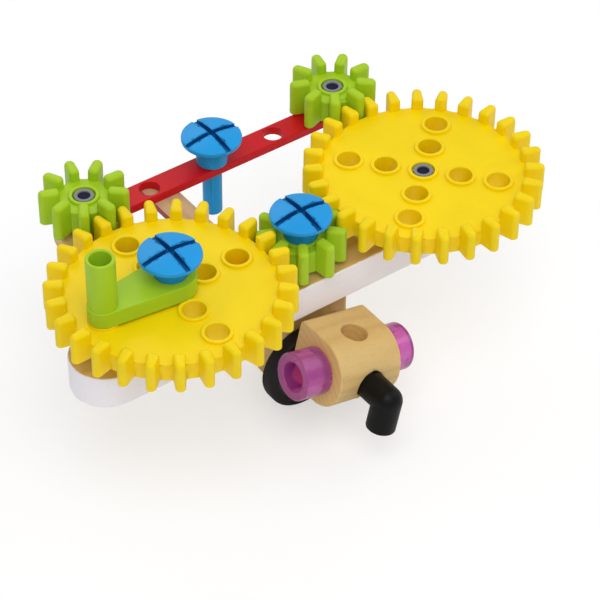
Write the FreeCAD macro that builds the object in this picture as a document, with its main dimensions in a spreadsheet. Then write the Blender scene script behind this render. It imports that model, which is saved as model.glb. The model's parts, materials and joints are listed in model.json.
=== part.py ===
"""Wooden crank gear toy: a beam, a cross plank and a red bar carry five meshed gears.

Frame: X runs along the beam, Y towards the red bar, Z up; the origin lies on the ground
under the axis of the idler gear. Every axis stands on a grid of one hole pitch.
"""
import os

import FreeCAD
import Part

os.makedirs("parts", exist_ok=True)
doc = FreeCAD.newDocument("crank_gear_toy")

# ---------------------------------------------------------------- driving dimensions, mm and degrees
SIZES = {
    "pitch": 16.0,               # hole pitch of the grid; a small gear's pitch radius too
    "small_teeth": 9,            # teeth of a small gear; a large gear has three times as many
    "tooth_play": 0.985,         # how much thinner than half a tooth pitch a tooth is
    "tip_thinning": 0.4,         # a large gear's tooth tip is this much thinner than a small gear's tooth
    "flank_taper": 1.4,          # a large gear's tooth is this much wider at its root than at its tip
    "tip_rise": 3.0,             # tooth tips stand this far outside the pitch circle
    "large_root_depth": 4.0,
    "small_root_depth": 4.3,
    "large_tooth_height": 13.8,
    "large_disc_thick": 8.2,
    "large_collar_rise": 1.3,
    "small_tooth_height": 16.2,
    "small_disc_thick": 10.7,
    "small_collar_rise": 1.2,
    "collar_wall": 1.6,
    "gear_hole_radius": 4.9,
    "driven_gear_steps": -6,     # teeth by which the driven gear is turned on from its first mesh
    "idler_slack": -2.4,         # each gear rests this far from the middle of its play
    "left_corner_slack": -2.4,
    "driven_gear_slack": 1.6,
    "right_corner_slack": -2.4,
    "shaft_radius": 4.25,        # stem of every screw and pin
    "running_gap": 0.05,         # radial clearance of a shaft in its hole
    "play": 0.3,                 # axial clearance of a turning piece
    "head_radius": 13.0,
    "head_thick": 2.0,           # at the rim, under the dome
    "head_dome": 2.0,
    "slot_width": 2.1,
    "slot_depth": 0.9,           # at the rim
    "neck_radius": 6.75,
    "neck_length": 11.5,
    "stem_length": 27.0,
    "tip_clearance": 3.0,        # below the idler screw's tip, in the standing block
    "flange_radius": 6.5,
    "flange_thick": 2.0,
    "core_radius": 2.7,
    "core_depth": 12.0,
    "core_recess": 0.6,
    "pin_recess": 0.4,
    "gap_ring_depth": 2.0,       # widened mouth of a gear's bore round its pin
    "beam_half_width": 15.2,
    "beam_thick": 16.1,
    "plank_half_width": 13.6,
    "plank_thick": 7.2,
    "bar_half_width": 5.84,
    "bar_thick": 4.0,
    "bar_hole_radius": 4.4,
    "strip_offset": 26.8,        # the side strip under the red bar lies this far from the idler's axis
    "strip_half_width": 6.5,
    "strip_thick": 3.2,
    "strip_eye_radius": 8.0,
    "idler_lift": 0.8,           # the idler screw's shoulder stands this far above the red bar's top
    "crank_socket": 3.3,         # depth of the neck in the crank's hub
    "rivet_head_radius": 6.4,
    "rivet_head_thick": 1.3,
    "rivet_depth": 10.0,
    "spacer_thick": 1.5,
    "spacer_radius": 8.0,
    "idler_washer_thick": 2.2,
    "crank_arm_half_width": 6.4,
    "crank_arm_thick": 7.6,
    "crank_hub_radius": 10.6,
    "crank_grip_radius": 6.0,
    "crank_grip_height": 31.4,   # above the collars of the crank gear
    "grip_bore_radius": 4.4,
    "grip_bore_depth": 9.0,
    "crank_plug_depth": 5.0,
    "block_height": 49.9,        # the standing block, from the ground to the beam
    "block_left": 12.0,          # the standing block's reach from the idler's axis, each way
    "block_right": 20.0,
    "block_front": 8.0,
    "block_back": 16.0,
    "block_round": 3.0,
    "turned_half_length": 16.0,  # half the size of the rounded block each way
    "turned_half": 16.0,
    "turned_half_height": 15.3,
    "turned_near_round": 15.0,
    "turned_far_round": 3.0,
    "turned_shift": 1.1,
    "turned_height": 32.6,
    "turned_tilt": 12.7,
    "turned_hole_radius": 5.6,
    "turned_hole_depth": 9.0,
    "tube_radius": 10.3,
    "tube_bore_radius": 6.4,
    "tube_floor": 3.0,
    "tube_plug_radius": 6.4,
    "tube_plug_depth": 7.0,
    "left_tube_length": 13.0,
    "right_tube_length": 12.2,
    "elbow_radius": 6.4,
    "elbow_bore_radius": 3.6,
    "elbow_shift": 0.8,          # the elbow's hole lies this far right of the block's middle
    "elbow_sink": 1.8,           # and this far below it
    "elbow_reach": 10.8,         # from the block's face to the axis of the leg that hangs down
    "elbow_drop": 14.0,
    "elbow_plug_depth": 7.0,
    "wheel_radius": 19.0,
    "wheel_thick": 6.8,
    "wheel_shift": 7.0,
    "wheel_clearance": 0.9,      # between the wheel and the rounded block
    "wheel_rim": 5.0,
    "wheel_dish": 1.2,
    "wheel_pin_radius": 3.0,
    "wheel_pin_head_radius": 4.6,
    "wheel_pin_head_thick": 2.0,
    "wheel_pin_depth": 14.0,
    "dowel_radius": 4.0,
    "dowel_shift": 4.5,          # middle of the two dowels, right of the idler's axis
    "dowel_spread": 9.5,
    "dowel_set_back": 9.0,
    "dowel_depth": 10.0,
    "link_radius": 3.0,
    "link_shift": 11.0,
    "link_clearance": 1.1,       # between the link dowel and the wheel
    "link_depth": 8.0,
    "fit_gap": 0.05,             # clearance of a plugged or glued joint
}

sheet = doc.addObject("Spreadsheet::Sheet", "sizes")
for row, (alias, value) in enumerate(SIZES.items(), start=1):
    sheet.set(f"A{row}", alias)
    sheet.set(f"B{row}", str(value))
    sheet.setAlias(f"B{row}", alias)
doc.recompute()


def size(alias):
    """The expression that reads one cell of the sheet."""
    return f"sizes.{alias}"


def total(*terms):
    """The expression that adds its terms, each an alias or an expression of its own."""
    return "(" + " + ".join(size(term) if term in SIZES else f"({term})" for term in terms) + ")"


def less(first, *others):
    """The expression that takes the other terms from the first."""
    return f"({total(first)} - {total(*others)})"


def grid(steps):
    """The expression for a number of hole pitches."""
    return f"({steps} * sizes.pitch)"


# Heights above the ground, as expressions of the sheet.
BEAM_BOTTOM = total("block_height")
BEAM_TOP = total(BEAM_BOTTOM, "beam_thick")
PLANK_TOP = total(BEAM_TOP, "plank_thick")
BAR_TOP = total(PLANK_TOP, "bar_thick")
STRIP_BOTTOM = less(PLANK_TOP, "strip_thick")
LARGE_BOTTOM = total(PLANK_TOP, "spacer_thick", "play")
LARGE_COLLAR = total(LARGE_BOTTOM, "large_disc_thick", "large_collar_rise")
CORNER_BOTTOM = total(BAR_TOP, "play")
SMALL_HEIGHT = total("small_disc_thick", "small_collar_rise")
CORNER_COLLAR = total(CORNER_BOTTOM, SMALL_HEIGHT)
IDLER_BOTTOM = total(BEAM_TOP, "idler_washer_thick", "play")
IDLER_SHOULDER = total(BAR_TOP, "idler_lift")
CRANK_TOP = total(LARGE_COLLAR, "crank_arm_thick")
CRANK_SHOULDER = less(CRANK_TOP, "crank_socket")
LINK_HEIGHT = ("(sizes.wheel_radius + sqrt(max(0; (sizes.wheel_radius + sizes.link_radius + sizes.link_clearance) ^ 2"
               " - (sizes.link_shift + sizes.wheel_shift) ^ 2)))")

# Angles of the first tooth of each gear, from the mesh with the gear before it.
SMALL_STEP = "(360 / sizes.small_teeth)"
LARGE_STEP = "(120 / sizes.small_teeth)"
CRANK_ANGLE = "0"


def meshed(angle, step, direction, next_step):
    """First tooth's angle, within half a turn, of a gear that meshes in a direction with a gear at an angle."""
    turned = f"{direction} + 180 - {next_step} * (({angle} - {direction}) / {step} + 0.5)"
    return f"(mod({turned} + 3780; 360) - 180)"


IDLER_MIDDLE = meshed(CRANK_ANGLE, LARGE_STEP, 0, SMALL_STEP)
LEFT_MIDDLE = meshed(CRANK_ANGLE, LARGE_STEP, 90, SMALL_STEP)
DRIVEN_MIDDLE = f"({meshed(IDLER_MIDDLE, SMALL_STEP, 0, LARGE_STEP)} + sizes.driven_gear_steps * {LARGE_STEP})"
RIGHT_MIDDLE = meshed(DRIVEN_MIDDLE, LARGE_STEP, 90, SMALL_STEP)
IDLER_ANGLE = f"({IDLER_MIDDLE} + sizes.idler_slack)"
LEFT_ANGLE = f"({LEFT_MIDDLE} + sizes.left_corner_slack)"
DRIVEN_ANGLE = f"({DRIVEN_MIDDLE} + sizes.driven_gear_slack)"
RIGHT_ANGLE = f"({RIGHT_MIDDLE} + sizes.right_corner_slack)"

UP = FreeCAD.Rotation()
ALONG_Y = FreeCAD.Rotation(FreeCAD.Vector(1, 0, 0), -90)     # a cylinder's Z turned to +Y
ALONG_X = FreeCAD.Rotation(FreeCAD.Vector(0, 1, 0), 90)
NODES = []


# ---------------------------------------------------------------- solids bound to the sheet
def bind(item, **expressions):
    for name, expression in expressions.items():
        item.setExpression(name, str(expression))
    return item


def put(item, x=0, y=0, z=0, rotation=None):
    """Places an object by expressions for its position."""
    if rotation is not None:
        item.Placement.Rotation = rotation
    for axis, value in zip("xyz", (x, y, z)):
        item.setExpression(f"Placement.Base.{axis}", str(value))
    return item


def cylinder(name, radius, height, x=0, y=0, z=0, rotation=UP):
    item = doc.addObject("Part::Cylinder", name)
    bind(item, Radius=radius, Height=height)
    return put(item, x, y, z, rotation)


def box(name, low, high):
    """A box between two corners, given as three expressions each."""
    item = doc.addObject("Part::Box", name)
    spans = [f"({b}) - ({a})" for a, b in zip(low, high)]
    bind(item, Length=spans[0], Width=spans[1], Height=spans[2])
    return put(item, *low)


def fuse(name, *items):
    item = doc.addObject("Part::MultiFuse", name)
    item.Shapes = list(items)
    item.Refine = True
    return item


def cut(name, base, *tools):
    item = doc.addObject("Part::Cut", name)
    item.Base = base
    item.Tool = tools[0] if len(tools) == 1 else fuse(name + "_tools", *tools)
    item.Refine = True
    return item


def node(label, item):
    """Marks a finished object as one of the toy's own pieces."""
    item.Label = label
    NODES.append(item)
    return item


def rounded(name, base, wanted, radius):
    """Rounds the edges of a finished base that pass the test."""
    doc.recompute()
    item = doc.addObject("Part::Fillet", name)
    item.Base = base
    amount = getattr(sheet, radius)
    chosen = [number for number, edge in enumerate(base.Shape.Edges, start=1) if wanted(edge)]
    item.Edges = [(number, amount, amount) for number in chosen]
    return item


# ---------------------------------------------------------------- gears
def tooth_width(extra="0"):
    """A tooth's width on the pitch circle, from the pitch, the number of teeth and the play."""
    return f"(pi * sizes.pitch / sizes.small_teeth - sizes.tooth_play + {extra})"


def gear(label, pitches, teeth, root_depth, height, disc_thick, collar_rise, tip_extra, root_extra):
    """A PartDesign gear whose first tooth points along +X, with its bottom at Z = 0."""
    body = doc.addObject("PartDesign::Body", label + "_body")
    pitch_radius = grid(pitches)
    root = f"({pitch_radius} - sizes.{root_depth})"
    tip_half = f"({tooth_width(tip_extra)} / 2)"
    root_half = f"({tooth_width(root_extra)} / 2)"
    tip_centre = f"({pitch_radius} + sizes.tip_rise - {tip_half})"

    flank = body.newObject("PartDesign::AdditiveWedge", label + "_flank")
    bind(flank, Xmin=f"-{root_half}", Xmax=root_half, X2min=f"-{tip_half}", X2max=tip_half)
    bind(flank, Ymin=f"{root} - sizes.collar_wall", Ymax=tip_centre)
    bind(flank, Zmin="0", Zmax=size(height), Z2min="0", Z2max=size(height))
    flank.Placement.Rotation = FreeCAD.Rotation(FreeCAD.Vector(0, 0, 1), -90)
    tip = body.newObject("PartDesign::AdditiveCylinder", label + "_tip")
    bind(tip, Radius=tip_half, Height=size(height))
    put(tip, tip_centre)
    disc = body.newObject("PartDesign::AdditiveCylinder", label + "_disc")
    bind(disc, Radius=root, Height=size(disc_thick))
    ring = body.newObject("PartDesign::PolarPattern", label + "_teeth")
    ring.Originals = [flank, tip]
    ring.Axis = (axis_of(body, "Z_Axis"), [""])
    ring.Angle = 360
    bind(ring, Occurrences=teeth)
    body.Tip = ring
    return body


def axis_of(body, role):
    return next(item for item in body.Origin.OriginFeatures if item.Role == role)


def large_gear(label, x, angle):
    """Three times a small gear's teeth, a disc with eight collared holes on two crossed arms, and a centre bore."""
    body = gear(label, 3, "3 * sizes.small_teeth", "large_root_depth", "large_tooth_height",
                "large_disc_thick", "large_collar_rise", "-sizes.tip_thinning", "sizes.flank_taper - sizes.tip_thinning")
    top = total("large_disc_thick", "large_collar_rise")
    collar_radius = total("gear_hole_radius", "collar_wall")
    collars = [cylinder(label + "_collar", collar_radius, top)]
    holes = [
        cylinder(label + "_bore", total("shaft_radius", "running_gap"), total(top, "2"), z="-1"),
        cylinder(label + "_mouth", "sizes.gear_hole_radius", total("gap_ring_depth", "1"),
                 z=less(top, "gap_ring_depth")),
    ]
    for reach in (1, 2):
        for arm, (across, along) in enumerate(((1, 0), (0, 1), (-1, 0), (0, -1))):
            spot = (grid(across * reach), grid(along * reach))
            name = f"{label}_{reach}_{arm}"
            collars.append(cylinder(name + "_collar", collar_radius, top, *spot))
            holes.append(cylinder(name + "_hole", "sizes.gear_hole_radius", total(top, "2"), *spot, z="-1"))
    solid = cut(label, fuse(label + "_whole", body, *collars), *holes)
    put(solid, x, 0, LARGE_BOTTOM)
    bind(solid, **{"Placement.Rotation.Angle": angle})
    return node(label, solid)


def small_gear(label, x, y, z, angle, mouth_radius, mouth_depth):
    """Tall teeth round a collared bore, whose mouth is widened for a pin or a screw's neck."""
    body = gear(label, 1, "sizes.small_teeth", "small_root_depth", "small_tooth_height",
                "small_disc_thick", "small_collar_rise", "0", "0")
    collar = cylinder(label + "_collar", f"({mouth_radius} + sizes.collar_wall)", SMALL_HEIGHT)
    bore = cylinder(label + "_bore", total("shaft_radius", "running_gap"), total(SMALL_HEIGHT, "2"), z="-1")
    mouth = cylinder(label + "_mouth", mouth_radius, f"({mouth_depth} + 1)", z=less(SMALL_HEIGHT, mouth_depth))
    solid = cut(label, fuse(label + "_whole", body, collar), bore, mouth)
    put(solid, x, y, z)
    bind(solid, **{"Placement.Rotation.Angle": angle})
    return node(label, solid)


large_gear("crank_gear", grid(-4), CRANK_ANGLE)
large_gear("driven_gear", grid(4), DRIVEN_ANGLE)
NECK_MOUTH = total("neck_radius", "running_gap")
small_gear("idler_gear", 0, 0, IDLER_BOTTOM, IDLER_ANGLE, NECK_MOUTH,
           less(total(IDLER_BOTTOM, SMALL_HEIGHT, "play"), IDLER_SHOULDER))
small_gear("left_corner_gear", grid(-4), grid(4), CORNER_BOTTOM, LEFT_ANGLE, "sizes.gear_hole_radius",
           "sizes.gap_ring_depth")
small_gear("right_corner_gear", grid(4), grid(4), CORNER_BOTTOM, RIGHT_ANGLE, "sizes.gear_hole_radius",
           "sizes.gap_ring_depth")


# ---------------------------------------------------------------- beam, plank and red bar
def strap(name, half_width, thick, start, end, z):
    """A flat strip with two round ends; start and end are the centres of those ends."""
    along_x = start[1] == end[1]
    if along_x:
        low = (start[0], f"{start[1]} - {half_width}", z)
        high = (end[0], f"{end[1]} + {half_width}", f"{z} + {thick}")
    else:
        low = (f"{start[0]} - {half_width}", start[1], z)
        high = (f"{end[0]} + {half_width}", end[1], f"{z} + {thick}")
    ends = [cylinder(f"{name}_end_{number}", half_width, thick, *spot, z)
            for number, spot in enumerate((start, end))]
    return fuse(name + "_strip", box(name + "_middle", low, high), *ends)


def hole(name, x, y, z, depth, radius):
    return cylinder(name, radius, depth, x, y, z)


SHAFT_HOLE = total("shaft_radius", "running_gap")

beam = strap("beam", "sizes.beam_half_width", "sizes.beam_thick",
             (grid(-6), "0"), (grid(6), "0"), BEAM_BOTTOM)
beam_holes = [hole(f"beam_hole_{number}", grid(number), 0, less(BEAM_BOTTOM, "1"),
                   total("beam_thick", "2"), SHAFT_HOLE) for number in (-6, -4, -2, 0, 2, 4, 6)]
dowel_tops = [cylinder(f"beam_dowel_{side}", total("dowel_radius", "fit_gap"), total("dowel_depth", "1"),
                       f"sizes.dowel_shift + {side} * sizes.dowel_spread", size("dowel_set_back"),
                       less(BEAM_BOTTOM, "1"))
              for side in (-1, 1)]
node("main_beam", cut("main_beam", beam, *beam_holes, *dowel_tops))

plank = strap("plank", "sizes.plank_half_width", "sizes.plank_thick",
              (grid(-4), "0"), (grid(-4), grid(4)), BEAM_TOP)
plank_holes = [hole(f"plank_hole_{number}", grid(-4), grid(number), less(BEAM_TOP, "1"),
                    total("plank_thick", "2"), SHAFT_HOLE) for number in (0, 2, 4)]
node("cross_plank", cut("cross_plank", plank, *plank_holes))

bar = strap("bar", "sizes.bar_half_width", "sizes.bar_thick", (grid(-4), grid(4)), (grid(4), grid(4)), PLANK_TOP)
bar_holes = [hole(f"bar_hole_{number}", grid(number), grid(4), less(PLANK_TOP, "1"),
                  total("bar_thick", "2"), radius)
             for number, radius in ((-4, SHAFT_HOLE), (-2, size("bar_hole_radius")), (0, SHAFT_HOLE),
                                    (2, size("bar_hole_radius")), (4, SHAFT_HOLE))]
node("red_bar", cut("red_bar", bar, *bar_holes))

strip = box("strip_box", ("-sizes.strip_offset - sizes.strip_half_width", "0", STRIP_BOTTOM),
            ("-sizes.strip_offset + sizes.strip_half_width", f"{grid(4)} + sizes.bar_half_width", PLANK_TOP))
eye = cylinder("strip_eye", "sizes.strip_eye_radius", "sizes.plank_thick", grid(-2), 0, BEAM_TOP)
eye_hole = hole("strip_eye_hole", grid(-2), 0, less(BEAM_TOP, "1"), total("plank_thick", "2"), SHAFT_HOLE)
node("side_strip", cut("side_strip", fuse("strip_whole", strip, eye), eye_hole))

rivet_stem = cylinder("rivet_stem", "sizes.shaft_radius", total("rivet_depth", "plank_thick"),
                      grid(-2), 0, less(BEAM_TOP, "rivet_depth"))
rivet_head = cylinder("rivet_head", "sizes.rivet_head_radius", "sizes.rivet_head_thick", grid(-2), 0, PLANK_TOP)
node("arm_rivet", fuse("arm_rivet", rivet_stem, rivet_head))


# ---------------------------------------------------------------- screws, pins and spacers
def dome(label, x, y, z):
    """The low dome on a screw's head: the part of a ball over the head's round."""
    ball_radius = "((sizes.head_radius ^ 2 + sizes.head_dome ^ 2) / (2 * sizes.head_dome))"
    ball = doc.addObject("Part::Sphere", label + "_ball")
    bind(ball, Radius=ball_radius)
    put(ball, x, y, f"({z} + sizes.head_dome - {ball_radius})")
    round_head = cylinder(label + "_round", "sizes.head_radius", total("head_dome", "1"), x, y, less(z, "0.5"))
    item = doc.addObject("Part::MultiCommon", label + "_dome")
    item.Shapes = [ball, round_head]
    return item


def screw(label, x, y, shoulder):
    """A shoulder screw: slotted domed head, thick neck, and a stem down from the shoulder."""
    neck_top = total(shoulder, "neck_length")
    head_top = total(neck_top, "head_thick")
    parts = [
        cylinder(label + "_stem", "sizes.shaft_radius", total("stem_length", "1"), x, y,
                 less(shoulder, "stem_length")),
        cylinder(label + "_neck", "sizes.neck_radius", "sizes.neck_length", x, y, shoulder),
        cylinder(label + "_head", "sizes.head_radius", "sizes.head_thick", x, y, neck_top),
        dome(label, x, y, head_top),
    ]
    floor = less(head_top, "slot_depth")
    ceiling = total(head_top, "head_dome", "1")
    reach = total("head_radius", "1")
    half = "(sizes.slot_width / 2)"
    slots = [
        box(label + "_slot_x", (f"{x} - {reach}", f"{y} - {half}", floor),
            (f"{x} + {reach}", f"{y} + {half}", ceiling)),
        box(label + "_slot_y", (f"{x} - {half}", f"{y} - {reach}", floor),
            (f"{x} + {half}", f"{y} + {reach}", ceiling)),
    ]
    return node(label, cut(label, fuse(label + "_whole", *parts), *slots))


screw("crank_screw", grid(-4), 0, CRANK_SHOULDER)
screw("idler_screw", 0, 0, IDLER_SHOULDER)
screw("bar_screw", 0, grid(4), BAR_TOP)


def pin(label, x, y, seat, collar):
    """A hollow pin with a flange under its seat, and the dark core in its bore."""
    top = less(collar, "pin_recess")
    bottom = less(seat, "flange_thick")
    stem = cylinder(label + "_stem", "sizes.shaft_radius", f"{top} - {bottom}", x, y, bottom)
    flange = cylinder(label + "_flange", "sizes.flange_radius", "sizes.flange_thick", x, y, bottom)
    bore = cylinder(label + "_bore", "sizes.core_radius", total("core_depth", "1"), x, y, less(top, "core_depth"))
    node(label, cut(label, fuse(label + "_whole", stem, flange), bore))
    core = cylinder(label + "_core", less("core_radius", "fit_gap"), less("core_depth", "core_recess"),
                    x, y, less(top, "core_depth"))
    node(label + "_core", core)


pin("driven_gear_pin", grid(4), 0, BEAM_BOTTOM, LARGE_COLLAR)
pin("left_corner_pin", grid(-4), grid(4), BEAM_TOP, CORNER_COLLAR)
pin("right_corner_pin", grid(4), grid(4), PLANK_TOP, CORNER_COLLAR)


def ring(label, x, y, z, thick, radius):
    """A spacer ring round a shaft."""
    outer = cylinder(label + "_outer", radius, thick, x, y, z)
    inner = cylinder(label + "_inner", SHAFT_HOLE, total(thick, "2"), x, y, less(z, "1"))
    return node(label, cut(label, outer, inner))


ring("crank_gear_spacer", grid(-4), 0, PLANK_TOP, size("spacer_thick"), size("spacer_radius"))
ring("driven_gear_spacer", grid(4), 0, BEAM_TOP, total("plank_thick", "spacer_thick"), size("spacer_radius"))
ring("idler_washer", 0, 0, BEAM_TOP, size("idler_washer_thick"), size("spacer_radius"))

# ---------------------------------------------------------------- crank
crank_axis = grid(-4)
grip_x = grid(-6)
crank_arm = doc.addObject("Part::Wedge", "crank_arm")
bind(crank_arm, Xmin="-sizes.crank_arm_half_width", Xmax="sizes.crank_arm_half_width",
     X2min="-sizes.crank_hub_radius", X2max="sizes.crank_hub_radius", Ymin="0", Ymax=grid(2),
     Zmin="0", Zmax="sizes.crank_arm_thick", Z2min="0", Z2max="sizes.crank_arm_thick")
put(crank_arm, grip_x, 0, LARGE_COLLAR, FreeCAD.Rotation(FreeCAD.Vector(0, 0, 1), -90))
crank_parts = [
    cylinder("crank_hub", "sizes.crank_hub_radius", "sizes.crank_arm_thick", crank_axis, 0, LARGE_COLLAR),
    crank_arm,
    cylinder("crank_arm_end", "sizes.crank_arm_half_width", "sizes.crank_arm_thick", grip_x, 0, LARGE_COLLAR),
    cylinder("crank_grip", "sizes.crank_grip_radius", "sizes.crank_grip_height", grip_x, 0, LARGE_COLLAR),
    cylinder("crank_plug", less("gear_hole_radius", "fit_gap"), total("crank_plug_depth", "1"), grip_x, 0,
             less(LARGE_COLLAR, "crank_plug_depth")),
]
crank_cuts = [
    cylinder("crank_bore", SHAFT_HOLE, total("crank_arm_thick", "2"), crank_axis, 0, less(LARGE_COLLAR, "1")),
    cylinder("crank_mouth", NECK_MOUTH, "(sizes.crank_socket + sizes.play + 1)", crank_axis, 0,
             less(CRANK_SHOULDER, "play")),
    cylinder("grip_bore", "sizes.grip_bore_radius", total("grip_bore_depth", "1"), grip_x, 0,
             less(total(LARGE_COLLAR, "crank_grip_height"), "grip_bore_depth")),
]
node("crank_handle", cut("crank_handle", fuse("crank_whole", *crank_parts), *crank_cuts))

# ---------------------------------------------------------------- standing block and its dowels
block = box("block_box", ("-sizes.block_left", "-sizes.block_front", 0),
            ("sizes.block_right", "sizes.block_back", BEAM_BOTTOM))
upright = rounded("block_rounded", block,
                  lambda edge: abs(edge.tangentAt(edge.FirstParameter).z) > 0.9, "block_round")
block_face = "-sizes.block_front"
wheel_back = f"({block_face} - sizes.play)"
wheel_front = f"({wheel_back} - sizes.wheel_thick)"
block_cuts = [
    cylinder(f"block_dowel_hole_{side}", total("dowel_radius", "fit_gap"), total("dowel_depth", "1"),
             f"sizes.dowel_shift + {side} * sizes.dowel_spread", size("dowel_set_back"), less(BEAM_BOTTOM, "dowel_depth"))
    for side in (-1, 1)
]
block_cuts += [
    cylinder("block_wheel_hole", "sizes.wheel_pin_radius", total("wheel_pin_depth", "1"),
             "-sizes.wheel_shift", less(block_face, "1"), size("wheel_radius"), ALONG_Y),
    cylinder("block_link_hole", total("link_radius", "fit_gap"), total("link_depth", "1"),
             size("link_shift"), less(block_face, "1"), LINK_HEIGHT, ALONG_Y),
    cylinder("block_tip_hole", SHAFT_HOLE, total("stem_length", "tip_clearance"), 0, 0,
             less(IDLER_SHOULDER, "stem_length", "tip_clearance")),
]
node("standing_block", cut("standing_block", upright, *block_cuts))

dowels = [cylinder(f"dowel_{side}", "sizes.dowel_radius", "2 * sizes.dowel_depth",
                   f"sizes.dowel_shift + {side} * sizes.dowel_spread", size("dowel_set_back"),
                   less(BEAM_BOTTOM, "dowel_depth")) for side in (-1, 1)]
pair = doc.addObject("Part::Compound", "dowel_pair")
pair.Links = dowels
node("block_dowels", pair)

# ---------------------------------------------------------------- rounded block, tubes and elbow
# These are built round the rounded block's own centre and then tilted about Y together.
TURNED_X = size("turned_shift")
TURNED_Y = f"({wheel_front} - sizes.wheel_clearance - sizes.turned_half)"
TURNED_Z = size("turned_height")


def tilt(item):
    """Tilts a piece that was built round the rounded block's centre, and sets it in place."""
    item.Placement = FreeCAD.Placement(FreeCAD.Vector(), FreeCAD.Rotation(FreeCAD.Vector(0, 1, 0), 10))
    put(item, TURNED_X, TURNED_Y, TURNED_Z)
    bind(item, **{"Placement.Rotation.Angle": "sizes.turned_tilt"})
    return item


cube = box("turned_box", ("-sizes.turned_half_length", "-sizes.turned_half", "-sizes.turned_half_height"),
           ("sizes.turned_half_length", "sizes.turned_half", "sizes.turned_half_height"))
barrel = cube
for side, radius in (("near", "turned_near_round"), ("far", "turned_far_round")):
    sign = -1 if side == "near" else 1
    barrel = rounded(f"turned_{side}_rounded", barrel,
                     lambda edge: len(edge.Vertexes) == 2 and all(
                         sign * vertex.Y > 0.99 * sheet.turned_half for vertex in edge.Vertexes)
                     and abs(edge.tangentAt(edge.FirstParameter).x) > 0.9
                     and abs(abs(edge.Vertexes[0].Z) - sheet.turned_half_height) < 0.001, radius)
PLUG_HOLE = total("tube_plug_radius", "fit_gap")
turned_cuts = [
    cylinder("turned_top_hole", "sizes.turned_hole_radius", total("turned_hole_depth", "1"), 0, 0,
             less("turned_half_height", "turned_hole_depth")),
    cylinder("turned_left_hole", PLUG_HOLE, total("tube_plug_depth", "1"),
             "-sizes.turned_half_length - 1", 0, 0, ALONG_X),
    cylinder("turned_right_hole", PLUG_HOLE, total("tube_plug_depth", "1"),
             less("turned_half_length", "tube_plug_depth"), 0, 0, ALONG_X),
    cylinder("turned_front_hole", total("elbow_radius", "fit_gap"), total("elbow_plug_depth", "1"),
             "sizes.elbow_shift", "-sizes.turned_half - 1", "-sizes.elbow_sink", ALONG_Y),
]
bored = cut("turned_bored", barrel, *turned_cuts)
tilt(bored)
link_hole = cylinder("turned_link_hole", total("link_radius", "fit_gap"), total("link_depth", "1"),
                     size("link_shift"), f"{TURNED_Y} + sizes.turned_half - sizes.link_depth",
                     LINK_HEIGHT, ALONG_Y)
node("rounded_block", cut("rounded_block", bored, link_hole))

link_start = f"({TURNED_Y} + sizes.turned_half - sizes.link_depth)"
node("link_dowel", cylinder("link_dowel", "sizes.link_radius",
                            f"({block_face} + sizes.link_depth) - {link_start}", size("link_shift"),
                            link_start, LINK_HEIGHT, ALONG_Y))


def tube(label, side, length):
    """A clear cup that stands out of the rounded block's end, on a plug in its hole."""
    face = "sizes.turned_half_length"
    rotation = ALONG_X if side > 0 else ALONG_X.inverted()
    start = f"{side} * {face}"
    wall = cylinder(label + "_wall", "sizes.tube_radius", length, start, 0, 0, rotation)
    plug = cylinder(label + "_plug", "sizes.tube_plug_radius", total("tube_plug_depth", "1"),
                    f"{side} * ({face} - sizes.tube_plug_depth)", 0, 0, rotation)
    bore = cylinder(label + "_bore", "sizes.tube_bore_radius", f"({length} - sizes.tube_floor + 1)",
                    f"{side} * ({face} + sizes.tube_floor)", 0, 0, rotation)
    return node(label, tilt(cut(label, fuse(label + "_whole", wall, plug), bore)))


tube("left_clear_tube", -1, size("left_tube_length"))
tube("right_clear_tube", 1, size("right_tube_length"))


def elbow_run(name, radius, over):
    """The elbow's two legs and the ball at their corner, each leg longer by a bit where it is a cutter."""
    corner = ("sizes.elbow_shift", "-(sizes.turned_half + sizes.elbow_reach)", "-sizes.elbow_sink")
    first = cylinder(name + "_first", radius, f"(sizes.elbow_reach + sizes.elbow_plug_depth + {over})", *corner, ALONG_Y)
    drop = f"(sizes.elbow_drop + {over})"
    second = cylinder(name + "_second", radius, drop, corner[0], corner[1], f"-sizes.elbow_sink - {drop}")
    ball = doc.addObject("Part::Sphere", name + "_ball")
    bind(ball, Radius=radius)
    put(ball, *corner)
    return fuse(name, first, second, ball)


elbow_outer = elbow_run("elbow_outer", "sizes.elbow_radius", "0")
elbow_inner = elbow_run("elbow_inner", "sizes.elbow_bore_radius", "1")
node("black_elbow", tilt(cut("black_elbow", elbow_outer, elbow_inner)))

# ---------------------------------------------------------------- rubber wheel on its pin
wheel_x = "-sizes.wheel_shift"
tyre = cylinder("wheel_tyre", "sizes.wheel_radius", "sizes.wheel_thick", wheel_x, wheel_front,
                size("wheel_radius"), ALONG_Y)
dishes = []
for side, start in (("front", f"{wheel_front} - 1"), ("back", f"{wheel_back} - sizes.wheel_dish")):
    outer = cylinder(f"wheel_{side}_dish", less("wheel_radius", "wheel_rim"), total("wheel_dish", "1"),
                     wheel_x, start, size("wheel_radius"), ALONG_Y)
    hub = cylinder(f"wheel_{side}_hub", "sizes.wheel_pin_head_radius + 2", total("wheel_dish", "3"),
                   wheel_x, f"{start} - 1", size("wheel_radius"), ALONG_Y)
    dishes.append(cut(f"wheel_{side}_ring", outer, hub))
pin_hole = cylinder("wheel_bore", total("wheel_pin_radius", "running_gap"), total("wheel_thick", "2"),
                    wheel_x, f"{wheel_front} - 1", size("wheel_radius"), ALONG_Y)
head_room = cylinder("wheel_head_room", total("wheel_pin_head_radius", "play"),
                     total("wheel_pin_head_thick", "play", "1"), wheel_x, f"{wheel_front} - 1",
                     size("wheel_radius"), ALONG_Y)
node("rubber_wheel", cut("rubber_wheel", tyre, *dishes, pin_hole, head_room))

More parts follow.
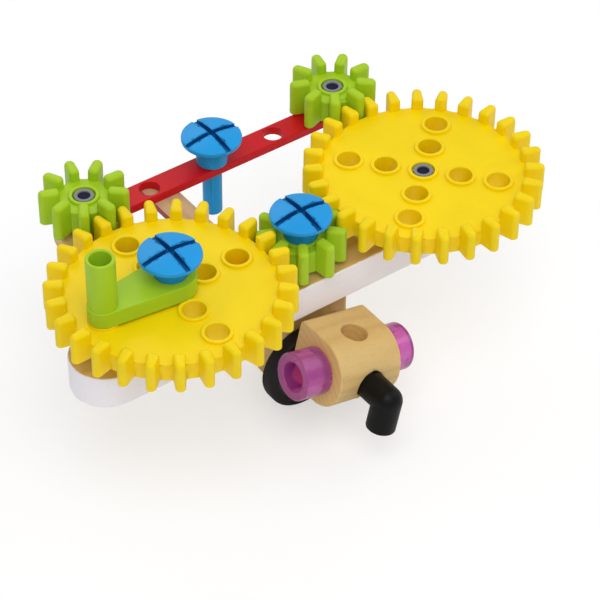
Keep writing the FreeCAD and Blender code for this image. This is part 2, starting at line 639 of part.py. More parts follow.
pin_shank = cylinder("wheel_shank", "sizes.wheel_pin_radius", total("wheel_thick", "play", "wheel_pin_depth"),
                     wheel_x, wheel_front, size("wheel_radius"), ALONG_Y)
pin_head = cylinder("wheel_pin_head", "sizes.wheel_pin_head_radius", "sizes.wheel_pin_head_thick",
                    wheel_x, wheel_front, size("wheel_radius"), ALONG_Y)
node("wheel_pin", fuse("wheel_pin", pin_shank, pin_head))

# ---------------------------------------------------------------- check and write
doc.recompute()
for item in doc.Objects:
    if "Invalid" in item.State or "Error" in item.State:
        raise RuntimeError(f"{item.Label} did not recompute: {item.State}")
for item in NODES:
    shape = item.Shape
    if shape.isNull() or not shape.isValid() or not shape.Solids:
        raise RuntimeError(f"{item.Label} is not a valid solid")
    shape.exportStep(f"parts/{item.Label}.step")
    low, high = shape.BoundBox, shape.Volume
    print(f"{item.Label:22s} solids {len(shape.Solids)}  {high:10.1f} mm3  "
          f"x {low.XMin:7.2f} {low.XMax:7.2f}  y {low.YMin:7.2f} {low.YMax:7.2f}  z {low.ZMin:7.2f} {low.ZMax:7.2f}")
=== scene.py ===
"""Wooden crank gear toy: finished surfaces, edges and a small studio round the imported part.

Every moving piece rides on the body of the solid that it stands for. Lengths are in metres.
"""
import json
import math

import bmesh
import bpy
from bpy.props import FloatProperty, FloatVectorProperty, IntProperty, PointerProperty
from mathutils import Matrix, Vector


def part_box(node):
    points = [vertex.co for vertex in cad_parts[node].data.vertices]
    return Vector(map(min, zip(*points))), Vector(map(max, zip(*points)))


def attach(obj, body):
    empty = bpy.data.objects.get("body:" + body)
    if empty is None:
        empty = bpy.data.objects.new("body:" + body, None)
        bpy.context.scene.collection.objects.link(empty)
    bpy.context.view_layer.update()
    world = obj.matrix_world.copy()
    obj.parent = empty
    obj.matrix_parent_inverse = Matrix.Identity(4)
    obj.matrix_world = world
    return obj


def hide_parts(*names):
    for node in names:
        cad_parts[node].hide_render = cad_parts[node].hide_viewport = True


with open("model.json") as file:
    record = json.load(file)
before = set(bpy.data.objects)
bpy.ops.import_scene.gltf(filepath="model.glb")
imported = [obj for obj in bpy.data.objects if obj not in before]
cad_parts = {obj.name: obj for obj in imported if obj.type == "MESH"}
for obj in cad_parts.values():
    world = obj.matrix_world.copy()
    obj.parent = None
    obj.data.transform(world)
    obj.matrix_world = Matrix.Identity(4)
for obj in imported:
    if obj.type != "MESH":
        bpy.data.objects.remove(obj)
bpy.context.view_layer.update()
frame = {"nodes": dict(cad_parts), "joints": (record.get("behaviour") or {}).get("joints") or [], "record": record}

bl_info = {
    "name": "Crank Gear Toy",
    "version": (1, 0, 0),
    "blender": (4, 5, 0),
    "location": "3D View > Sidebar > Gear Toy",
    "description": "Finishes a wooden crank gear toy and sets up its studio",
    "category": "Object",
}

MM = 0.001
WELD = 1e-6                        # points closer than this are one point
HAIR = 0.05 * MM                   # heights and radii that differ by less count as the same
LEVEL_TURN = math.radians(0.6)     # faces that differ by less are joined into one flat face
ROUNDED_TURN = math.radians(30)    # outer edges that turn by more are rounded
CREASED_TURN = math.radians(38)    # edges that turn by more stay creased in the shading

BODY_OF = {node: body for body, nodes in frame["record"]["behaviour"]["bodies"].items()
           for node in nodes}
AXIS_OF = {joint["child"]: Vector(joint["pos_m"]).xy for joint in frame["joints"]}
BLOCK_CENTRE = tuple(sum(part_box("rounded_block"), Vector((0, 0, 0))) / 2)
BLOCK_TILT = math.radians(12.7)    # about Y; the block's grain leans with it


# ---------------------------------------------------------------- sizes and colours
def to_linear(value):
    """The linear share of light of a screen colour's value from 0 to 255, by the sRGB curve."""
    share = value / 255
    return ((share + 0.055) / 1.055) ** 2.4 if share > 0.04045 else share / 12.92


def colour(name, description, red, green, blue):
    """A colour property, with its default written as screen colours from 0 to 255."""
    return FloatVectorProperty(name=name, description=description, subtype="COLOR", size=3,
                               min=0, max=1, default=tuple(map(to_linear, (red, green, blue))))


def length(name, description, millimetres):
    """A length property, with its default written in millimetres."""
    return FloatProperty(name=name, description=description, subtype="DISTANCE", unit="LENGTH",
                         min=0, default=millimetres * MM, precision=5)


def angle(name, description, degrees):
    """An angle property, with its default written in degrees."""
    return FloatProperty(name=name, description=description, subtype="ANGLE",
                         default=math.radians(degrees))


class ToyColours(bpy.types.PropertyGroup):
    """Colours of the toy's plastics, woods and paint"""

    yellow: colour("Yellow", "Colour of the two large gears", 250, 218, 2)
    green: colour("Green", "Colour of the three small gears", 172, 208, 34)
    lime: colour("Lime", "Colour of the crank", 168, 206, 40)
    blue: colour("Blue", "Colour of the slotted screws", 30, 156, 228)
    # Painted shade: this darker blue stands for the shade down in the screws' slots.
    slot_shade_blue: colour("Blue in the slots", "Colour down in the screws' slots", 0, 84, 150)
    red: colour("Red", "Colour of the perforated bar", 206, 10, 24)
    strip_red: colour("Strip's red", "Colour of the side strip's painted sides", 168, 14, 40)
    strip_wood: colour("Strip's wood", "Colour of the side strip's bare faces", 206, 170, 132)
    # On the pins this colour is partly painted highlight, light caught on the rims of darker pins; the washers and
    # spacers take it too.
    grey: colour("Grey", "Colour of the hollow pins and the washers", 134, 136, 136)
    # Painted shade: the near black cores fill the pins' holes and stand for the shade down in them.
    navy: colour("Navy", "Colour of the cores in the pins", 22, 20, 54)
    pink: colour("Pink", "Colour of the clear tubes", 242, 120, 224)
    black: colour("Black", "Colour of the elbow and the wheel's pin", 7, 7, 8)
    rubber: colour("Rubber", "Colour of the wheel", 10, 10, 11)
    wood_light: colour("Wood, pale rings", "Colour of the early wood", 224, 189, 122)
    wood_dark: colour("Wood, dark rings", "Colour of the late wood", 211, 172, 106)
    paint: colour("Paint", "Colour of the beam's painted sides", 250, 246, 251)
    floor: colour("Floor", "Colour of the floor and the backdrop", 244, 245, 247)


class ToyEdges(bpy.types.PropertyGroup):
    """Roundings of the toy's edges"""

    gear: length("Gears", "Rounding of the edges of every gear", 0.5)
    tooth: length("Tooth tops", "Rounding of the upper ends of the teeth", 1.75)
    arm_reach: length("Arm's reach", "From a gear's axis to just past its inner holes", 21.5)
    crank: length("Crank", "Rounding of the crank's edges", 0.33)
    grip: length("Grip and tubes", "Rounding of the grip's top, the tubes and the elbow", 0.7)
    screw: length("Screws", "Rounding of the screws' edges", 0.5)
    wood: length("Wood", "Rounding of the wooden pieces' edges", 1.0)
    turned: length("Rounded block", "Rounding of the rounded block's edges", 0.8)
    bar: length("Red bar", "Rounding of the bar's and the side strip's edges", 0.4)
    small: length("Small pieces", "Rounding of pins, washers, dowels and the rivet", 0.3)
    wheel: length("Wheel", "Rounding of the wheel's tread", 1.2)
    steps: IntProperty(name="Steps", description="Faces across each rounding", default=3,
                       min=1, max=6)


class ToyStudio(bpy.types.PropertyGroup):
    """Camera and lights"""

    elevation: angle("Elevation", "Camera's height above the horizon", 42.0)
    heading: angle("Heading", "Camera's turn round the toy", -36.8)
    roll: angle("Roll", "Camera's turn about its own view", 0.74)
    distance: FloatProperty(name="Distance", description="From the camera to its aim",
                            subtype="DISTANCE", unit="LENGTH", default=0.9648)
    aim: FloatVectorProperty(name="Aim", description="The point at the middle of the view",
                             subtype="XYZ", size=3, default=(-0.027, -0.0362, 0.0845))
    sensor: FloatProperty(name="Sensor", description="Width of the sensor, in millimetres",
                          default=36)
    lens: FloatProperty(name="Lens", description="Focal length, in millimetres", default=146.28)
    key_power: FloatProperty(name="Key light", description="Power of the large soft light",
                             default=4.7, subtype="POWER", unit="POWER")
    fill_power: FloatProperty(name="Fill light",
                              description="Power of the lights from the right and from behind",
                              default=1.6, subtype="POWER", unit="POWER")
    sky: FloatProperty(name="Sky", description="Strength of the light from all round", default=0.5)
    glow: FloatProperty(name="Floor's glow", description="Strength of the white in the floor",
                        default=1.2)


# ---------------------------------------------------------------- shader expressions
class Link:
    """A shader socket that takes part in Python expressions."""

    def __init__(self, finish, socket):
        self.finish = finish
        self.socket = socket

    def maths(self, operation, *terms):
        return self.finish.node("ShaderNodeMath", {"operation": operation}, dict(enumerate(terms)))

    def __add__(self, other):
        return self.maths("ADD", self, other)

    def __radd__(self, other):
        return self.maths("ADD", other, self)

    def __sub__(self, other):
        return self.maths("SUBTRACT", self, other)

    def __rsub__(self, other):
        return self.maths("SUBTRACT", other, self)

    def __mul__(self, other):
        return self.maths("MULTIPLY", self, other)

    def __rmul__(self, other):
        return self.maths("MULTIPLY", other, self)

    def __abs__(self):
        return self.maths("ABSOLUTE", self)

    def sine(self):
        return self.maths("SINE", self)

    def between(self, low, high):
        """0 up to low, 1 from high on, and smooth between; with low above high, the other way."""
        flip = low > high
        found = self.finish.node("ShaderNodeMapRange", {"interpolation_type": "SMOOTHSTEP"},
                                 {"Value": self, "From Min": min(low, high),
                                  "From Max": max(low, high)})
        return 1 - found if flip else found


class Finish:
    """One procedural material, built node by node."""

    def __init__(self, name):
        self.material = bpy.data.materials.new(name)
        self.material.use_nodes = True
        self.tree = self.material.node_tree
        self.tree.nodes.clear()

    def node(self, kind, settings=None, inputs=None, output=0):
        """Adds a node with its settings and inputs, and returns a link to one of its outputs."""
        made = self.tree.nodes.new(kind)
        for name, value in (settings or {}).items():
            setattr(made, name, value)
        for name, value in (inputs or {}).items():
            socket = made.inputs[name]
            if isinstance(value, Link):
                self.tree.links.new(value.socket, socket)
            elif socket.type == "RGBA":
                socket.default_value = (*value, 1)
            else:
                socket.default_value = value
        return Link(self, made.outputs[output]) if len(made.outputs) else None

    def vector(self, operation, *terms, output=0):
        return self.node("ShaderNodeVectorMath", {"operation": operation}, dict(enumerate(terms)),
                         output)

    def place(self, turn=(0, 0, 0), centre=(0, 0, 0), scale=(1, 1, 1)):
        """A point on the piece, counted from a centre, turned and then scaled."""
        point = self.node("ShaderNodeTexCoord", output="Object")
        if centre != (0, 0, 0):
            point = self.vector("SUBTRACT", point, centre)
        return self.node("ShaderNodeMapping", {"vector_type": "POINT"},
                         {"Vector": point, "Rotation": turn, "Scale": scale})

    def noise(self, point, scale, detail, roughness=0.5, distortion=0.0):
        return self.node("ShaderNodeTexNoise", None,
                         {"Vector": point, "Scale": scale, "Detail": detail,
                          "Roughness": roughness, "Distortion": distortion})

    def blend(self, share, first, second):
        """The colour that goes from the first to the second as the share goes from 0 to 1."""
        return self.node("ShaderNodeMix", {"data_type": "RGBA"},
                         {"Factor": share, 6: first, 7: second}, output=2)

    def edge(self, low, high):
        """1 along worn outer edges, and 0 on flats and in corners."""
        return self.node("ShaderNodeNewGeometry", output="Pointiness").between(low, high)

    def bump(self, height, strength, distance):
        return self.node("ShaderNodeBump", None,
                         {"Height": height, "Strength": strength, "Distance": distance})

    def surface(self, inputs):
        """Ends the material in a principled surface with these inputs, and returns it."""
        shader = self.node("ShaderNodeBsdfPrincipled", None, inputs)
        self.node("ShaderNodeOutputMaterial", None, {"Surface": shader})
        return self.material


def lighter(shade, share):
    return tuple(value + (1 - value) * share for value in shade)


def darker(shade, share):
    return tuple(value * (1 - share) for value in shade)


# ---------------------------------------------------------------- finishes
def moulded_plastic(name, shade, roughness=0.34, flow=0.10, coat=0.03, gloss=0.22):
    """Injection moulded plastic: faint flow clouds, the mould's fine grain, and light scuffs.

    The flow is how dark the clouds get, the coat is the weight of the clear sheen on top, and
    the gloss is how strongly the plastic itself mirrors.
    """
    finish = Finish(name)
    point = finish.place()
    clouds = finish.noise(point, 38, detail=4, distortion=0.6)
    grain = finish.noise(point, 1500, detail=2)
    scuffs = finish.noise(finish.place(turn=(0.3, 0.2, 0.7), scale=(1, 9, 2)), 160,
                          detail=5, roughness=0.7)
    body = finish.blend(clouds.between(0.3, 0.7) * flow, shade, darker(shade, 0.5))
    marks = scuffs.between(0.60, 0.72)
    return finish.surface({
        "Base Color": finish.blend(marks * 0.06, body, lighter(shade, 0.4)),
        "Roughness": roughness + 0.10 * marks + 0.05 * clouds,
        "Normal": finish.bump(grain * 0.6 + scuffs * 0.4, 0.22, 0.06 * MM),
        "Specular IOR Level": gloss,
        "Coat Weight": coat,
        "Coat Roughness": 0.2,
    })


def clear_plastic(name, shade):
    """See-through tinted plastic with faint swirls and softly rubbed faces."""
    finish = Finish(name)
    swirls = finish.noise(finish.place(), 90, detail=3, distortion=1.2)
    return finish.surface({
        "Base Color": finish.blend(swirls.between(0.35, 0.7) * 0.35, shade, darker(shade, 0.35)),
        "Roughness": 0.10 + 0.10 * swirls,
        "Transmission Weight": 0.74,
        "IOR": 1.46,
        "Normal": finish.bump(swirls, 0.15, 0.1 * MM),
        "Coat Weight": 0.3,
        "Coat Roughness": 0.08,
    })


def wood_colour(finish, along, pith, colours, turn=(0, 0, 0), centre=(0, 0, 0)):
    """Rings round a pith line, fine fibres and pores.

    Returns the colour, the fibres and the pores.
    """
    ring_pitch, ring_drift = 3.1 * MM, 9 * MM

    def drawn_out(share):
        """A scale that draws a pattern out along the grain and leaves it as it is across it."""
        return tuple(share if axis == along else 1.0 for axis in "XYZ")

    drift = finish.noise(finish.place(turn, centre, drawn_out(0.06)), 36, detail=3)
    across = finish.vector("MULTIPLY", finish.vector("SUBTRACT", finish.place(turn, centre), pith),
                           drawn_out(0))
    radius = finish.vector("LENGTH", across, output="Value")
    rings = ((radius + drift * ring_drift) * (math.tau / ring_pitch)).sine() * 0.5 + 0.5
    fibres = finish.noise(finish.place(turn, centre, drawn_out(0.035)), 1500,
                          detail=4, roughness=0.6)
    pores = finish.noise(finish.place(turn, centre, drawn_out(0.10)), 1900,
                         detail=1).between(0.66, 0.74)
    pale, dark = colours
    late = rings * rings * 0.55 + fibres.between(0.35, 0.75) * 0.35
    wood = finish.blend(pores * 0.25, finish.blend(late, pale, dark), darker(dark, 0.35))
    return wood, fibres, pores


def bare_wood(name, along, pith, colours, turn=(0, 0, 0), centre=(0, 0, 0)):
    """Sanded and waxed wood, paler along its handled edges."""
    finish = Finish(name)
    wood, fibres, pores = wood_colour(finish, along, pith, colours, turn, centre)
    handled = finish.edge(0.54, 0.66)
    return finish.surface({
        "Base Color": finish.blend(handled * 0.25, wood, lighter(colours[0], 0.35)),
        "Roughness": 0.46 + 0.14 * fibres + 0.1 * pores,
        "Normal": finish.bump(fibres * 0.7 - pores, 0.35, 0.12 * MM),
        "Coat Weight": 0.08,
        "Coat Roughness": 0.35,
    })


def painted_wood(name, along, pith, colours, paint):
    """Wood with its upright sides under brushed paint, which ends raggedly at their edges."""
    finish = Finish(name)
    wood, fibres, pores = wood_colour(finish, along, pith, colours)
    normal = finish.node("ShaderNodeTexCoord", output="Normal")
    level = abs(finish.node("ShaderNodeSeparateXYZ", None, {"Vector": normal}, output="Z"))
    ragged = finish.noise(finish.place(), 700, detail=3)
    covered = (level + ragged * 0.30).between(0.98, 0.80)
    brush = finish.noise(finish.place(scale=(0.12, 1, 1)), 900, detail=3)
    coat = finish.blend(brush.between(0.3, 0.8) * 0.16, paint, darker(paint, 0.22))
    return finish.surface({
        "Base Color": finish.blend(covered, wood, coat),
        "Roughness": 0.48 + 0.12 * fibres - 0.12 * covered,
        "Normal": finish.bump(fibres * 0.6 - pores * 0.6 + brush * 0.5 * covered, 0.3, 0.12 * MM),
    })


def rubber(name, shade):
    """Dull rubber with a fine mould grain and dusty, paler raised edges."""
    dusty = (0.16, 0.155, 0.15)
    finish = Finish(name)
    point = finish.place()
    grain = finish.noise(point, 2200, detail=2)
    dust = finish.noise(point, 220, detail=5, roughness=0.7).between(0.45, 0.8)
    pale = finish.edge(0.52, 0.62) * 0.25 + dust * 0.10
    return finish.surface({
        "Base Color": finish.blend(pale, shade, dusty),
        "Roughness": 0.62 + 0.18 * dust,
        "Normal": finish.bump(grain, 0.4, 0.1 * MM),
        "Specular IOR Level": 0.35,
    })


# ---------------------------------------------------------------- pieces from the solids
def clean_copy(node, cuts=(), kept=None):
    """A merged copy of a solid's surface, with its flat faces joined up, as a bmesh.

    Each cut is a point and a normal of a plane. The edges that it makes and that pass the kept
    test stay, so that no joined face runs all round a hole.
    """
    work = bmesh.new()
    work.from_mesh(frame["nodes"][node].data)
    bmesh.ops.remove_doubles(work, verts=work.verts, dist=WELD)
    bmesh.ops.dissolve_degenerate(work, edges=work.edges, dist=WELD)
    for point, normal in cuts:
        line = bmesh.ops.bisect_plane(work, geom=[*work.verts, *work.edges, *work.faces],
                                      dist=WELD / 10, plane_co=point, plane_no=normal)
        for item in line["geom_cut"]:
            if isinstance(item, bmesh.types.BMEdge):
                item.seam = kept(item)
    bmesh.ops.dissolve_limit(work, angle_limit=LEVEL_TURN, verts=work.verts, edges=work.edges,
                             use_dissolve_boundaries=False, delimit={"SEAM"})
    return work


def round_edges(work, width, steps, wanted=None):
    """Rounds each outer edge that turns enough and passes the wanted test, where there is one."""
    chosen = [edge for edge in work.edges
              if len(edge.link_faces) == 2 and edge.is_convex
              and edge.calc_face_angle(0) > ROUNDED_TURN and (wanted is None or wanted(edge))]
    if chosen and width > 0:
        bmesh.ops.bevel(work, geom=chosen, offset=width, offset_type="OFFSET", affect="EDGES",
                        segments=steps, profile=0.5, material=-1, clamp_overlap=False,
                        loop_slide=True, face_strength_mode="NEW")


def finish_piece(node, work, material, flat=None):
    """Makes a piece of a bmesh, in a material, that stands for its solid and rides on its body.

    Faces that pass the flat test are shaded flat, and all others smooth.
    """
    name = "finished_" + node
    for face in work.faces:
        face.smooth = flat is None or not flat(face)
    mesh = bpy.data.meshes.new(name)
    work.to_mesh(mesh)
    work.free()
    mesh.set_sharp_from_angle(angle=CREASED_TURN)
    piece = bpy.data.objects.new(name, mesh)
    bpy.context.scene.collection.objects.link(piece)
    mesh.materials.append(material)
    even = piece.modifiers.new("even_normals", "WEIGHTED_NORMAL")
    even.keep_sharp = True
    even.use_face_influence = True
    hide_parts(node)
    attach(piece, BODY_OF[node])
    return piece


def dressed(node, material, width):
    """The usual piece: a solid's own shape with rounded edges and a material."""
    work = clean_copy(node)
    round_edges(work, width, bpy.context.scene.toy_edges.steps)
    return finish_piece(node, work, material)


def dressed_gear(node, material, cut_arms):
    """A gear whose teeth are well rounded where they stand above its disc, and lightly elsewhere.

    With cut_arms, its flat faces are parted along its two arms, through all of its holes.
    """
    edges = bpy.context.scene.toy_edges
    axis = AXIS_OF[BODY_OF[node]]

    def reach(point):
        return (point.co.xy - axis).length

    points = frame["nodes"][node].data.vertices
    bottom = min(point.co.z for point in points)
    top = max(point.co.z for point in points)
    # The tops of the teeth end inwards at this radius, above the disc's face.
    inner = min(reach(point) for point in points if point.co.z > top - HAIR)
    disc = max(point.co.z for point in points
               if abs(reach(point) - inner) < 2 * HAIR and point.co.z < top - HAIR)

    def off_teeth(edge):
        return (all(vertex.co.z < bottom + HAIR for vertex in edge.verts)
                or min(map(reach, edge.verts)) < inner - HAIR)

    def on_tooth(edge):
        return (max(vertex.co.z for vertex in edge.verts) > disc + HAIR
                and all(vertex.co.z > disc - HAIR and reach(vertex) > inner - HAIR
                        for vertex in edge.verts))

    def elsewhere(edge):
        return all(vertex.co.z < disc + HAIR or reach(vertex) < inner - 6 * HAIR
                   for vertex in edge.verts)

    def on_disc(face, leeway):
        return abs(face.calc_center_median().z - disc) < leeway

    cuts = ()
    if cut_arms:
        # The farthest point of an inner hole's rim lies on its arm.
        rims = (point.co.xy - axis for point in points
                if point.co.z < bottom + HAIR and reach(point) < edges.arm_reach)
        arm = max(rims, key=lambda way: way.length)
        middle = (*axis, bottom)
        cuts = ((middle, (arm.y, -arm.x, 0)), (middle, (arm.x, arm.y, 0)))
    work = clean_copy(node, cuts, off_teeth)
    round_edges(work, edges.tooth, edges.steps + 1, on_tooth)
    # The wide rounding tips the disc's face a little where it meets the teeth.
    for face in work.faces:
        if face.normal.z > 0.9 and on_disc(face, 5 * HAIR):
            for vertex in face.verts:
                if abs(vertex.co.z - disc) < edges.tooth:
                    vertex.co.z = disc
    round_edges(work, edges.gear, edges.steps, elsewhere)
    return finish_piece(node, work, material,
                        flat=lambda face: face.normal.z > 0.999 and on_disc(face, HAIR))


def dressed_screw(node, material, slot_shade_material):
    """A screw whose cross slot takes a darker blue: painted shade for the shade down in the slot."""
    floor_depth, wall_depth = 2.2 * MM, 3.2 * MM    # from the top of the dome
    rim_share = 0.485                               # of the head's width, just inside its rim
    edges = bpy.context.scene.toy_edges
    work = clean_copy(node)
    round_edges(work, edges.screw, edges.steps)
    low, high = (Vector([limit(vertex.co[side] for vertex in work.verts) for side in range(3)])
                 for limit in (min, max))
    axis = (low.xy + high.xy) / 2
    # Faces down in the slot take the second material, a darker blue of painted shade.
    for face in work.faces:
        middle = face.calc_center_median()
        reach = (middle.xy - axis).length
        wall = abs(face.normal.z) < 0.3 and reach < (high.x - low.x) * rim_share
        floor = face.normal.z > 0.999 and middle.z < high.z - floor_depth
        if middle.z > high.z - wall_depth and (wall or floor):
            face.material_index = 1
    piece = finish_piece(node, work, material)
    piece.data.materials.append(slot_shade_material)
    return piece


# ---------------------------------------------------------------- operators
class ToyOperator:
    """Shared by the toy's operators: the settings that they read"""

    bl_options = {"REGISTER", "UNDO"}

    @property
    def edges(self):
        return bpy.context.scene.toy_edges

    def shade(self, name):
        return tuple(getattr(bpy.context.scene.toy_colours, name))


class TOY_OT_large_gears(ToyOperator, bpy.types.Operator):
    """Finish the two large yellow gears"""

    bl_idname = "toy.large_gears"
    bl_label = "Large gears"

    def execute(self, context):
        plastic = moulded_plastic("yellow_plastic", self.shade("yellow"), roughness=0.36,
                                  flow=0.12)
        for node in ("crank_gear", "driven_gear"):
            dressed_gear(node, plastic, cut_arms=True)
        return {"FINISHED"}


class TOY_OT_small_gears(ToyOperator, bpy.types.Operator):
    """Finish the three small green gears"""

    bl_idname = "toy.small_gears"
    bl_label = "Small gears"

    def execute(self, context):
        plastic = moulded_plastic("green_plastic", self.shade("green"), roughness=0.36)
        for node in ("idler_gear", "left_corner_gear", "right_corner_gear"):
            dressed_gear(node, plastic, cut_arms=False)
        return {"FINISHED"}


class TOY_OT_crank(ToyOperator, bpy.types.Operator):
    """Finish the crank with its grip"""

    bl_idname = "toy.crank"
    bl_label = "Crank"

    def execute(self, context):
        plastic = moulded_plastic("lime_plastic", self.shade("lime"), roughness=0.32)
        work = clean_copy("crank_handle")
        brim = max(vertex.co.z for vertex in work.verts) - 2 * HAIR
        round_edges(work, self.edges.grip, self.edges.steps,
                    lambda edge: all(vertex.co.z > brim for vertex in edge.verts))
        round_edges(work, self.edges.crank, self.edges.steps,
                    lambda edge: all(vertex.co.z < brim - self.edges.grip
                                     for vertex in edge.verts))
        finish_piece("crank_handle", work, plastic)
        return {"FINISHED"}


class TOY_OT_screws(ToyOperator, bpy.types.Operator):
    """Finish the three blue slotted screws"""

    bl_idname = "toy.screws"
    bl_label = "Screws"

    def execute(self, context):
        plastic = moulded_plastic("blue_plastic", self.shade("blue"))
        # The darker blue in the slots is painted shade.
        slot = moulded_plastic("blue_plastic_in_slots", self.shade("slot_shade_blue"), roughness=0.5,
                               coat=0)
        for node in ("crank_screw", "idler_screw", "bar_screw"):
            dressed_screw(node, plastic, slot)
        return {"FINISHED"}


class TOY_OT_red_bar(ToyOperator, bpy.types.Operator):
    """Finish the red perforated bar and the rivet of the side strip"""

    bl_idname = "toy.red_bar"
    bl_label = "Red bar"

    def execute(self, context):
        plastic = moulded_plastic("red_plastic", self.shade("red"), roughness=0.36)
        dressed("red_bar", plastic, self.edges.bar)
        dressed("arm_rivet", plastic, self.edges.small)
        return {"FINISHED"}


class TOY_OT_pins(ToyOperator, bpy.types.Operator):
    """Finish the hollow pins, their dark cores of painted shade, and the washers"""

    bl_idname = "toy.pins"
    bl_label = "Pins and washers"

    def execute(self, context):
        # On the pins the pale sleeve colour is partly painted highlight along their rims.
        sleeve = moulded_plastic("grey_plastic", self.shade("grey"), roughness=0.42)
        # The cores are painted shade: a dark fill where the pins' holes are only in shade.
        hole_shade = moulded_plastic("navy_plastic", self.shade("navy"), roughness=0.55, coat=0,
                               gloss=0.15)
        for node in ("driven_gear_pin", "left_corner_pin", "right_corner_pin",
                     "crank_gear_spacer", "driven_gear_spacer", "idler_washer"):
            dressed(node, sleeve, self.edges.small)
        for node in ("driven_gear_pin_core", "left_corner_pin_core", "right_corner_pin_core"):
            dressed(node, hole_shade, self.edges.small)
        return {"FINISHED"}


class TOY_OT_woodwork(ToyOperator, bpy.types.Operator):
    """Finish the beam, the plank, the side strip, both blocks and the dowels"""

    bl_idname = "toy.woodwork"
    bl_label = "Woodwork"

    def execute(self, context):
        edges = self.edges
        woods = self.shade("wood_light"), self.shade("wood_dark")
        strip = self.shade("strip_wood")
        beam_wood = painted_wood("painted_beam", along="X", pith=(0, 0.035, -0.02), colours=woods,
                                 paint=self.shade("paint"))
        plank_wood = bare_wood("plank_wood", along="Y", pith=(-0.11, 0, 0.01), colours=woods)
        strip_wood = painted_wood("painted_strip", along="Y", pith=(-0.06, 0, 0.02),
                                  colours=(strip, darker(strip, 0.2)),
                                  paint=self.shade("strip_red"))
        standing_wood = bare_wood("standing_wood", along="Z", pith=(0.05, 0.06, 0), colours=woods)
        turned_wood = bare_wood("turned_wood", along="X", pith=(0, 0.03, -0.045), colours=woods,
                                turn=(0, -BLOCK_TILT, 0), centre=BLOCK_CENTRE)
        dowel_wood = bare_wood("dowel_wood", along="Z", pith=(0.03, 0.03, 0), colours=woods)
        link_wood = bare_wood("link_wood", along="Y", pith=(0.03, 0, 0.06), colours=woods)
        dressed("main_beam", beam_wood, edges.wood)
        dressed("cross_plank", plank_wood, edges.wood)
        dressed("side_strip", strip_wood, edges.bar)
        dressed("standing_block", standing_wood, edges.wood)
        dressed("rounded_block", turned_wood, edges.turned)
        dressed("block_dowels", dowel_wood, edges.small)
        dressed("link_dowel", link_wood, edges.small)
        return {"FINISHED"}


class TOY_OT_clear_tubes(ToyOperator, bpy.types.Operator):
    """Finish the two clear pink tubes"""

    bl_idname = "toy.clear_tubes"
    bl_label = "Clear tubes"

    def execute(self, context):
        plastic = clear_plastic("pink_clear_plastic", self.shade("pink"))
        for node in ("left_clear_tube", "right_clear_tube"):
            dressed(node, plastic, self.edges.grip)
        return {"FINISHED"}


class TOY_OT_black_pieces(ToyOperator, bpy.types.Operator):
    """Finish the elbow, the wheel and the wheel's pin"""

    bl_idname = "toy.black_pieces"
    bl_label = "Black pieces"

    def execute(self, context):
        plastic = moulded_plastic("black_plastic", self.shade("black"), roughness=0.4, coat=0,
                                  gloss=0.18)
        dressed("black_elbow", plastic, self.edges.grip)
        dressed("wheel_pin", plastic, self.edges.small)
        dressed("rubber_wheel", rubber("black_rubber", self.shade("rubber")), self.edges.wheel)
        return {"FINISHED"}


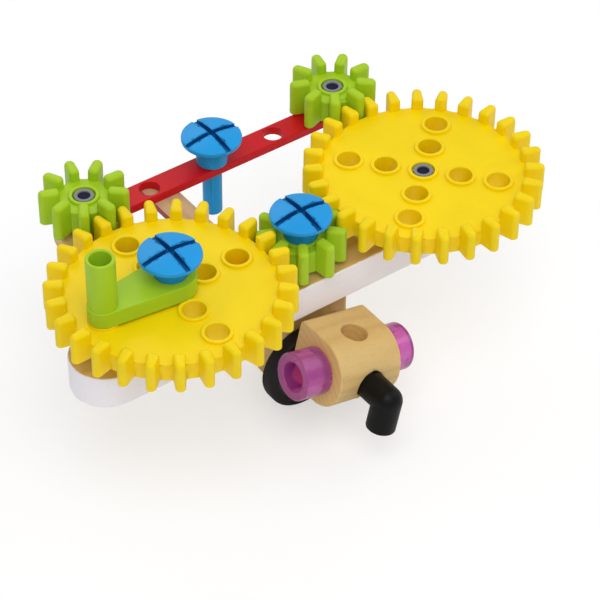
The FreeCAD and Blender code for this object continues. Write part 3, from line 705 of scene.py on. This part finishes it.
class TOY_OT_studio(ToyOperator, bpy.types.Operator):
    """Set up the floor, the lights and the camera"""

    bl_idname = "toy.studio"
    bl_label = "Studio"

    def execute(self, context):
        scene = bpy.context.scene
        studio = scene.toy_studio
        self.floor(studio.glow)
        self.sky(studio.sky)
        self.lamp("key_light", place=(-0.25, -0.45, 0.95), size=0.9, power=studio.key_power)
        self.lamp("fill_light", place=(0.75, -0.15, 0.6), size=0.8, power=studio.fill_power)
        self.lamp("back_light", place=(0.1, 0.8, 0.7), size=0.7, power=studio.fill_power)
        self.camera(studio)
        scene.view_settings.view_transform = "Standard"
        return {"FINISHED"}

    def floor(self, strength):
        """A pale floor that takes soft shadows and looks nearly white to the camera."""
        half_width, seen_glow = 4, 0.45
        shade = self.shade("floor")
        finish = Finish("pale_floor")
        mottle = finish.noise(finish.place(), 4, detail=2)
        paint = finish.blend(mottle * 0.05, shade, darker(shade, 0.05))
        seen = finish.node("ShaderNodeLightPath", output="Is Camera Ray")
        matt = finish.node("ShaderNodeBsdfDiffuse", None, {"Color": paint})
        glow = finish.node("ShaderNodeEmission", None, {"Color": (1, 1, 1), "Strength": strength})
        shown = finish.node("ShaderNodeMixShader", None, {0: seen * seen_glow, 1: matt, 2: glow})
        finish.node("ShaderNodeOutputMaterial", None, {"Surface": shown})
        work = bmesh.new()
        bmesh.ops.create_grid(work, x_segments=1, y_segments=1, size=half_width)
        mesh = bpy.data.meshes.new("floor")
        work.to_mesh(mesh)
        work.free()
        mesh.materials.append(finish.material)
        floor = bpy.data.objects.new("floor", mesh)
        bpy.context.scene.collection.objects.link(floor)

    def sky(self, strength):
        """Light from all round; the camera itself sees plain white."""
        world = bpy.data.worlds.new("studio")
        world.use_nodes = True
        tree = world.node_tree
        tree.nodes.clear()
        path = tree.nodes.new("ShaderNodeLightPath")
        mix = tree.nodes.new("ShaderNodeMixShader")
        out = tree.nodes.new("ShaderNodeOutputWorld")
        tree.links.new(path.outputs["Is Camera Ray"], mix.inputs[0])
        for number, power in ((1, strength), (2, 1)):
            white = tree.nodes.new("ShaderNodeBackground")
            white.inputs["Color"].default_value = (1, 1, 1, 1)
            white.inputs["Strength"].default_value = power
            tree.links.new(white.outputs[0], mix.inputs[number])
        tree.links.new(mix.outputs[0], out.inputs[0])
        bpy.context.scene.world = world

    def lamp(self, name, place, size, power):
        """A round soft light that faces the toy."""
        target = Vector((0, 0, 0.05))
        light = bpy.data.lights.new(name, "AREA")
        light.shape, light.size, light.energy = "DISK", size, power
        lamp = bpy.data.objects.new(name, light)
        lamp.location = place
        lamp.rotation_euler = (target - Vector(place)).to_track_quat("-Z", "Y").to_euler()
        bpy.context.scene.collection.objects.link(lamp)

    def camera(self, studio):
        """A camera that looks at the aim from its heading and elevation, with a slight roll."""
        nearest, farthest = 0.01, 20
        turn, rise, roll = studio.heading, studio.elevation, studio.roll
        back = Vector((math.sin(turn) * math.cos(rise), -math.cos(turn) * math.cos(rise),
                       math.sin(rise)))
        level = Vector((math.cos(turn), math.sin(turn), 0))
        upward = back.cross(level)
        right = level * math.cos(roll) + upward * math.sin(roll)
        top = upward * math.cos(roll) - level * math.sin(roll)
        data = bpy.data.cameras.new("camera")
        data.lens, data.sensor_width = studio.lens, studio.sensor
        data.clip_start, data.clip_end = nearest, farthest
        camera = bpy.data.objects.new("camera", data)
        place = Vector(studio.aim) + back * studio.distance
        facing = Matrix((right, top, back)).transposed().to_4x4()
        camera.matrix_world = Matrix.Translation(place) @ facing
        bpy.context.scene.collection.objects.link(camera)
        bpy.context.scene.camera = camera


OPERATORS = (TOY_OT_large_gears, TOY_OT_small_gears, TOY_OT_crank, TOY_OT_screws, TOY_OT_red_bar,
             TOY_OT_pins, TOY_OT_woodwork, TOY_OT_clear_tubes, TOY_OT_black_pieces, TOY_OT_studio)


class TOY_PT_panel(bpy.types.Panel):
    """Lists the toy's settings and operators"""

    bl_idname = "TOY_PT_panel"
    bl_label = "Crank Gear Toy"
    bl_space_type = "VIEW_3D"
    bl_region_type = "UI"
    bl_category = "Gear Toy"

    def draw(self, context):
        scene = context.scene
        for group in (scene.toy_colours, scene.toy_edges, scene.toy_studio):
            column = self.layout.box().column()
            for name in group.__annotations__:
                column.prop(group, name)
        for operator in OPERATORS:
            self.layout.operator(operator.bl_idname)


CLASSES = (ToyColours, ToyEdges, ToyStudio, *OPERATORS, TOY_PT_panel)


def register():
    for made in CLASSES:
        bpy.utils.register_class(made)
    bpy.types.Scene.toy_colours = PointerProperty(type=ToyColours)
    bpy.types.Scene.toy_edges = PointerProperty(type=ToyEdges)
    bpy.types.Scene.toy_studio = PointerProperty(type=ToyStudio)


def unregister():
    for name in ("toy_studio", "toy_edges", "toy_colours"):
        delattr(bpy.types.Scene, name)
    for made in reversed(CLASSES):
        bpy.utils.unregister_class(made)


def main():
    register()
    bpy.ops.toy.studio()
    bpy.ops.toy.large_gears()
    bpy.ops.toy.small_gears()
    bpy.ops.toy.crank()
    bpy.ops.toy.screws()
    bpy.ops.toy.red_bar()
    bpy.ops.toy.pins()
    bpy.ops.toy.woodwork()
    bpy.ops.toy.clear_tubes()
    bpy.ops.toy.black_pieces()


if __name__ == "__main__":
    main()
